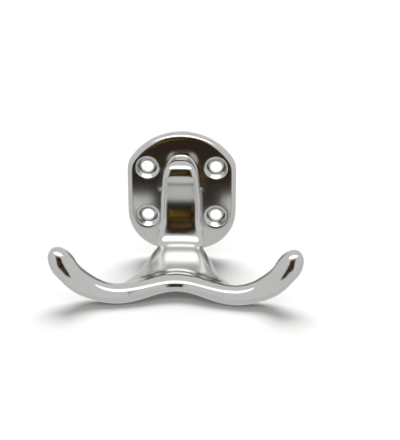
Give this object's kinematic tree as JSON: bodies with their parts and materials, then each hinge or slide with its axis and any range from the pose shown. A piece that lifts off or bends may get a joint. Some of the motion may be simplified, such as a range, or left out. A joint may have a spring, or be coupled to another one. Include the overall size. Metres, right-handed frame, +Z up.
{
  "type": "double robe hook",
  "caption": "Cast wall hook for robes and towels: a rounded screw plate, a swan neck that spreads into a shelf, and upturned arms with domed tips.",
  "frame": {"origin": "centre of the screw holes on the plate's flat back, on the wall", "axes": "X across the hook, +Y into the wall, +Z up; the arms reach out along -Y"},
  "size_m": [0.0956, 0.0562, 0.0542],
  "materials": {
    "satin_chrome": "satin chrome plate over a polished zinc casting"
  },
  "bodies": {
    "root": {"double_hook": "satin_chrome"}
  },
  "joints": []
}
